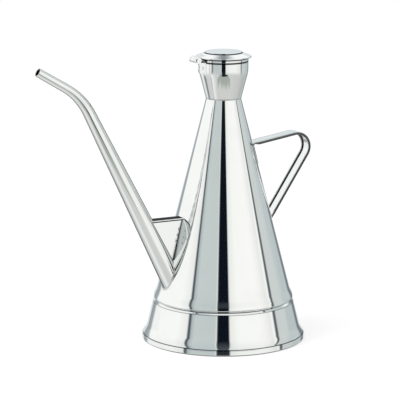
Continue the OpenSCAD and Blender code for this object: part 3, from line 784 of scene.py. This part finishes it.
def strap_section(roll):
    """Section of the strap for each roll radius, as (sideways, outwards) and its normals.

    Each edge is an arc of that radius. It starts on the outer face and ends
    where it comes back to the inner face, at the angle -180 - asin((roll -
    STRAP_T) / roll).
    """
    end = -np.pi - np.arcsin(np.clip((roll - STRAP_T) / roll, -1, 1))
    angle = np.pi / 2 + (end - np.pi / 2) * np.linspace(0, 1, 26)
    side = STRAP_W / 2 - roll + roll * np.cos(angle)
    out = STRAP_T / 2 - roll + roll * np.sin(angle)
    inner_y = side[:, -1:] - 0.03
    flat = np.full_like(inner_y, -STRAP_T / 2)
    y = np.concatenate([side, inner_y, -inner_y, -side[:, ::-1]], 1)
    n = np.concatenate([out, flat, flat, out[:, ::-1]], 1)
    ny = np.concatenate([np.cos(angle), 0 * flat, 0 * flat, -np.cos(angle)[:, ::-1]], 1)
    nn = np.concatenate([np.sin(angle), 0 * flat - 1, 0 * flat - 1, np.sin(angle)[:, ::-1]], 1)
    return y, n, ny, nn


roll = (STRAP_T / 2 + (EDGE_R - STRAP_T / 2) * open_share)[:, None]
y, n, ny, nn = strap_section(roll)
cone_here = cone_r(strap_line[:, 1])[:, None] + STRAP_T / 2
sag = (1 - open_share[:, None]) * (cone_here - np.sqrt(cone_here**2 - y**2))
sag_slope = (1 - open_share[:, None]) * y / np.sqrt(cone_here**2 - y**2)
strap_grid = np.stack([strap_line[:, :1] + n * strap_n[:, :1] - sag, y,
    strap_line[:, 1:] + n * strap_n[:, 1:]], -1)
nx = nn * strap_n[:, :1]
strap_normals = np.stack([nx, ny + sag_slope * nx, nn * strap_n[:, 1:]], -1)
rows, columns = y.shape
strap_faces = [grid_faces(rows, columns, False, True), np.arange(columns)[::-1][None],
    (rows - 1) * columns + np.arange(columns)[None]]
handle = piece("handle", strap_grid, strap_faces, "strap steel", "can", ["handle_strap"],
    strap_normals)

# %% [markdown]
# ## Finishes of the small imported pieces
# The hinge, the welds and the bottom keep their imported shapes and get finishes.

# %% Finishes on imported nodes
NODE_FINISH = {
    "bottom_disc": "satin steel",
    "rim_seal_ring": "weld metal",
    "cone_joint_solder": "weld metal",
    "neck_weld": "weld metal",
    "brace_spot_welds": "fold steel",
    "handle_upper_weld": "weld metal",
    "handle_lower_weld": "weld metal",
    "hinge_bracket": "hinge steel",
    "hinge_bracket_welds": "hinge steel",
    "hinge_pin": "hinge steel",
    "lid_hinge_leaf": "hinge steel",
    "lid_leaf_welds": "hinge steel",
}
for node, finish in NODE_FINISH.items():
    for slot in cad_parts[node].material_slots:
        slot.material = bpy.data.materials[finish]
print("packed nodes with a finish:", len(NODE_FINISH))

# %% [markdown]
# ## The studio
# A mirror shows the room, so the room makes the look. Around the table stand
# white and grey cards, with a dark gap for the camera between two of them. They
# are written as one colour ramp over the compass direction, measured from the
# camera. The sky of the studio uses it, and so does the far part of the floor.

# %% Camera
camera_data = bpy.data.cameras.new("camera")
camera = bpy.data.objects.new("camera", camera_data)
bpy.context.scene.collection.objects.link(camera)
bpy.context.scene.camera = camera
camera_data.sensor_width = 36.0
camera_data.lens = 36.0 * 2419.77 / 400
camera_data.clip_end = 50
TURN = np.radians(-27.0)
PAN, PITCH, DISTANCE, HEIGHT = np.radians(-0.562), np.radians(11.480), 1600.0, 419.52
away = np.array([-np.sin(TURN), np.cos(TURN), 0])
right = np.array([np.cos(TURN), np.sin(TURN), 0])
look = np.cos(PITCH) * (np.sin(PAN) * right + np.cos(PAN) * away) - np.array([0, 0, np.sin(PITCH)])
camera_at = -DISTANCE * away + np.array([0, 0, HEIGHT])
camera.location = (camera_at * MM).tolist()


def aim(thing, direction):
    """Turns a camera or lamp so that it looks along a direction, with its top up."""
    back = -unit(np.asarray(direction, float))
    side = unit(np.cross([0, 0, 1.0], back))
    turn = np.eye(4)
    turn[:3, :3] = np.stack([side, np.cross(back, side), back], 1)
    turn[:3, 3] = thing.location
    thing.matrix_world = turn.T.tolist()


aim(camera, look)
print("camera at", [round(float(v), 1) for v in camera_at], "mm")


# %% Studio cards
def tone(rgb):
    """Scene-linear light that polished steel, which keeps 0.9 of it, shows as a screen colour."""
    c = np.asarray(rgb, float) / 255
    light = np.where(c <= 0.04045, c / 12.92, ((c + 0.055) / 1.055) ** 2.4) / 0.9
    return (*light.tolist(), 1.0)


GAP = (12, 19, 29)
# Direction in degrees, to the right of the camera's when seen from the can, and tone
CARDS = [
    (-180, (215, 222, 224)), (-158, (222, 228, 230)), (-153, (150, 158, 162)),
    (-140, (162, 169, 172)), (-134, (246, 247, 246)), (-75, (247, 248, 246)),
    (-57, (232, 234, 232)), (-55.4, (76, 85, 90)), (-52.2, (84, 93, 98)),
    (-50.4, (172, 181, 183)), (-44, (194, 203, 202)), (-11.4, (192, 201, 200)),
    (-10.6, (226, 228, 222)), (-9.3, (226, 228, 222)), (-8.3, GAP),
    (9.0, GAP), (10.4, (230, 232, 228)), (24, (245, 246, 243)), (57, (248, 248, 246)),
    (66, (244, 244, 242)), (79, (230, 232, 229)), (85, (248, 248, 246)), (87.3, (88, 95, 100)),
    (91, (96, 103, 107)), (93, (201, 207, 205)), (112, (200, 207, 206)), (122, (187, 197, 198)),
    (143, (190, 198, 200)), (150, (116, 124, 130)), (159, (120, 128, 133)),
    (165, (216, 221, 222)), (180, (215, 222, 224))]
FLOOR = [
    (-180, (215, 217, 215)), (-158, (215, 217, 215)), (-150, (150, 153, 152)),
    (-142, (150, 153, 152)), (-135, (224, 226, 225)), (-118, (224, 226, 225)),
    (-111, (132, 138, 140)), (-101, (132, 138, 140)), (-96, (203, 205, 204)),
    (-76, (205, 207, 206)), (-63, (236, 238, 237)), (-50, (222, 224, 223)), (-38, (202, 204, 202)), (40, (204, 206, 203)), (60, (200, 202, 200)), (90, (195, 198, 196)),
    (120, (172, 176, 175)), (143, (172, 176, 175)), (150, (130, 134, 134)),
    (158, (130, 134, 134)), (164, (215, 217, 215)), (180, (215, 217, 215))]
# How much further round an edge of a card lies for each radian of height above 10 degrees
LEAN = 0.32


def step(tree, value, start, end):
    """A soft mask that rises from 0 to 1 while a value goes from start to end."""
    node = add(tree, "MapRange", [("Value", value)], interpolation_type="SMOOTHSTEP")
    node.inputs["From Min"].default_value = start
    node.inputs["From Max"].default_value = end
    return node.outputs[0]


def times(tree, a, b):
    """Product of two values."""
    return add(tree, "Math", [(0, a), (1, b)], operation="MULTIPLY").outputs[0]


def over(tree, mask, under, colour):
    """A colour laid over another where the mask is 1."""
    node = add(tree, "Mix", [("Factor", mask), (6, under)], data_type="RGBA")
    node.inputs[7].default_value = colour
    return node.outputs[2]


def ramp_over(tree, share, stops):
    """A colour ramp over a share of the circle, from stops in degrees."""
    node = add(tree, "ValToRGB", [(0, share)])
    for at, rgb in stops[1:-1]:
        node.color_ramp.elements.new((at + 180) / 360).color = tone(rgb)
    node.color_ramp.elements[0].color = tone(stops[0][1])
    node.color_ramp.elements[len(stops) - 1].color = tone(stops[-1][1])
    return node.outputs[0]


def make_cards():
    """Colours of the studio in a direction, and the direction's own angles.

    Turn is atan2(rightward part, part towards the camera), and Height is
    atan2(upward part, level part). In front, the cards are looked up at Turn
    times 1 - LEAN * (Height - 10 degrees), so their edges lean outwards.
    """
    group = new_group("studio cards", [("Vector", "Vector", None)],
        [("Cards", "Color"), ("Floor", "Color"), ("Height", "Float"), ("Turn", "Float"),
            ("Across", "Float")])
    source = group.nodes.new("NodeGroupInput")
    sink = group.nodes.new("NodeGroupOutput")
    parts = []
    for axis in (right, -away, (0, 0, 1)):
        dot = add(group, "VectorMath", [(0, source.outputs[0])], operation="DOT_PRODUCT")
        dot.inputs[1].default_value = [float(v) for v in axis]
        parts.append(dot.outputs["Value"])
    turn = add(group, "Math", [(0, parts[0]), (1, parts[1])], operation="ARCTAN2").outputs[0]
    both = add(group, "Math", [(0, times(group, parts[0], parts[0])),
        (1, times(group, parts[1], parts[1]))], operation="ADD")
    level = add(group, "Math", [(0, both.outputs[0])], operation="SQRT")
    rise = add(group, "Math", [(0, parts[2]), (1, level.outputs[0])], operation="ARCTAN2").outputs[0]
    lean = add(group, "MapRange", [("Value", rise)])
    lean.inputs["From Min"].default_value = np.radians(10)
    lean.inputs["From Max"].default_value = np.radians(90)
    lean.inputs["To Min"].default_value = 0.0
    lean.inputs["To Max"].default_value = LEAN * np.radians(80)
    size = add(group, "Math", [(0, turn)], operation="ABSOLUTE").outputs[0]
    in_front = step(group, size, np.radians(125), np.radians(75))
    kept = add(group, "Math", [(1, times(group, lean.outputs[0], in_front))], operation="SUBTRACT")
    kept.inputs[0].default_value = 1.0
    for title, value, stops in (("Cards", times(group, turn, kept.outputs[0]), CARDS),
            ("Floor", turn, FLOOR)):
        share = add(group, "MapRange", [("Value", value)])
        share.inputs["From Min"].default_value = -np.pi
        share.inputs["From Max"].default_value = np.pi
        group.links.new(ramp_over(group, share.outputs[0], stops), sink.inputs[title])
    group.links.new(rise, sink.inputs["Height"])
    group.links.new(parts[0], sink.inputs["Across"])
    group.links.new(size, sink.inputs["Turn"])
    return group


STUDIO_CARDS = make_cards()
print("studio cards:", len(CARDS), "stops, floor:", len(FLOOR), "stops")

# %% [markdown]
# The floor shows white to the camera, and takes the can's shadow as real paper
# does. In the steel it has its own tones where it is seen steeply, and mirrors
# the cards at a glancing angle, as a glossy table does.

# %% Floor
floor_mesh = bpy.data.meshes.new("floor")
floor_mesh.from_pydata([(-8, -8, 0), (8, -8, 0), (8, 8, 0), (-8, 8, 0)], [], [(0, 1, 2, 3)])
floor = bpy.data.objects.new("floor", floor_mesh)
bpy.context.scene.collection.objects.link(floor)
floor_finish = bpy.data.materials.new("floor")
floor_finish.use_nodes = True
floor_mesh.materials.append(floor_finish)
tree = floor_finish.node_tree
tree.nodes.remove(tree.nodes["Principled BSDF"])
paper = add(tree, "BsdfDiffuse")
paper.inputs["Color"].default_value = (0.94, 0.94, 0.94, 1)
seen = add(tree, "LightPath")
place = add(tree, "NewGeometry")
cards = add(tree, "Group", [(0, place.outputs["Position"])], node_tree=STUDIO_CARDS)
across = cards.outputs["Across"]
reach = add(tree, "VectorMath", [(0, place.outputs["Position"])], operation="LENGTH").outputs["Value"]


def patch(colour, left, right_end, start, end, tint, soft=0.02):
    """The floor's colour with a soft-edged patch, between two distances from the can."""
    inside = times(tree, step(tree, across, left, left + soft),
        step(tree, across, right_end, right_end - soft))
    deep = times(tree, step(tree, reach, start, start + soft), step(tree, reach, end, end - soft))
    return over(tree, times(tree, inside, deep), colour, tint)


near = patch(cards.outputs["Floor"], -0.066, 0.094, 0.229, 0.30, tone((160, 167, 160)), 0.012)
near = patch(near, -0.14, 0.15, 0.238, 0.60, tone((164, 170, 164)), 0.008)
near = patch(near, -0.065, 0.085, 0.325, 0.70, tone((28, 33, 38)))
near = patch(near, 0.02, 0.145, 0.35, 0.44, tone((28, 33, 38)), 0.012)
shown = over(tree, seen.outputs["Is Camera Ray"], near, (1, 1, 1, 1))
glow = add(tree, "Emission", [("Color", shown)])
gloss = add(tree, "BsdfGlossy")
gloss.inputs["Color"].default_value = (0.94, 0.945, 0.945, 1)
gloss.inputs["Roughness"].default_value = 0.03
glance = add(tree, "LayerWeight")
shallow = step(tree, glance.outputs["Facing"], 0.56, 0.76)
for_steel = add(tree, "MixShader", [(0, times(tree, shallow, seen.outputs["Is Glossy Ray"])),
    (1, glow.outputs[0]), (2, gloss.outputs[0])])
camera_share = add(tree, "Math", [(0, seen.outputs["Is Camera Ray"])], operation="MULTIPLY")
camera_share.inputs[1].default_value = 0.6
share = add(tree, "Math", [(0, seen.outputs["Is Glossy Ray"]), (1, camera_share.outputs[0])],
    operation="MAXIMUM")
mixed = add(tree, "MixShader", [(0, share.outputs[0]), (1, paper.outputs[0]),
    (2, for_steel.outputs[0])])
tree.links.new(mixed.outputs[0], tree.nodes["Material Output"].inputs["Surface"])
print("floor: 16 m wide")

# %% World
world = bpy.data.worlds.new("studio")
bpy.context.scene.world = world
world.use_nodes = True
tree = world.node_tree
background = tree.nodes["Background"]
seen = add(tree, "LightPath")
place = add(tree, "TexCoord")
cards = add(tree, "Group", [(0, place.outputs["Generated"])], node_tree=STUDIO_CARDS)
rise, turn = cards.outputs["Height"], cards.outputs["Turn"]
low = step(tree, rise, np.radians(5.0), np.radians(3.4))
ahead = step(tree, turn, np.radians(56), np.radians(44))
sky = over(tree, times(tree, low, ahead), cards.outputs["Cards"], tone(GAP))
haze = add(tree, "MapRange", [("Value", rise)])
haze.inputs["From Min"].default_value = np.radians(18)
haze.inputs["From Max"].default_value = np.radians(70)
haze.inputs["To Max"].default_value = 0.22
sky = over(tree, haze.outputs[0], sky, tone((150, 165, 172)))
behind = times(tree, step(tree, turn, np.radians(160), np.radians(179)),
    times(tree, step(tree, rise, np.radians(40), np.radians(50)),
        step(tree, rise, np.radians(68), np.radians(60))))
sky = over(tree, times(tree, step(tree, turn, np.radians(125), np.radians(140)),
    step(tree, rise, np.radians(17), np.radians(25))), sky, tone((246, 248, 248)))
sky = over(tree, behind, sky, tone((70, 84, 92)))
sky = over(tree, step(tree, rise, np.radians(66), np.radians(76)), sky, tone((238, 241, 242)))
mirrored = add(tree, "Mix", [(0, seen.outputs["Is Glossy Ray"]), (7, sky)], data_type="RGBA")
mirrored.inputs[6].default_value = (1.0, 1.0, 1.0, 1)
shown = over(tree, seen.outputs["Is Camera Ray"], mirrored.outputs[2], (1, 1, 1, 1))
tree.links.new(shown, background.inputs["Color"])
background.inputs["Strength"].default_value = 1.0
print("world: studio cards for reflections, white for the camera")

# %% Key light
lamp_data = bpy.data.lights.new("key", "AREA")
lamp_data.energy = 14
lamp_data.size = 0.9
lamp = bpy.data.objects.new("key", lamp_data)
bpy.context.scene.collection.objects.link(lamp)
lamp_at = -0.9 * right + -0.5 * away + np.array([0, 0, 1.3])
lamp.location = lamp_at.tolist()
aim(lamp, np.array([0, 0, 0.08]) - lamp_at)
lamp.visible_glossy = False
bpy.context.scene.view_settings.view_transform = "Standard"
print("key light set")

# %% Finish
print("scene built")
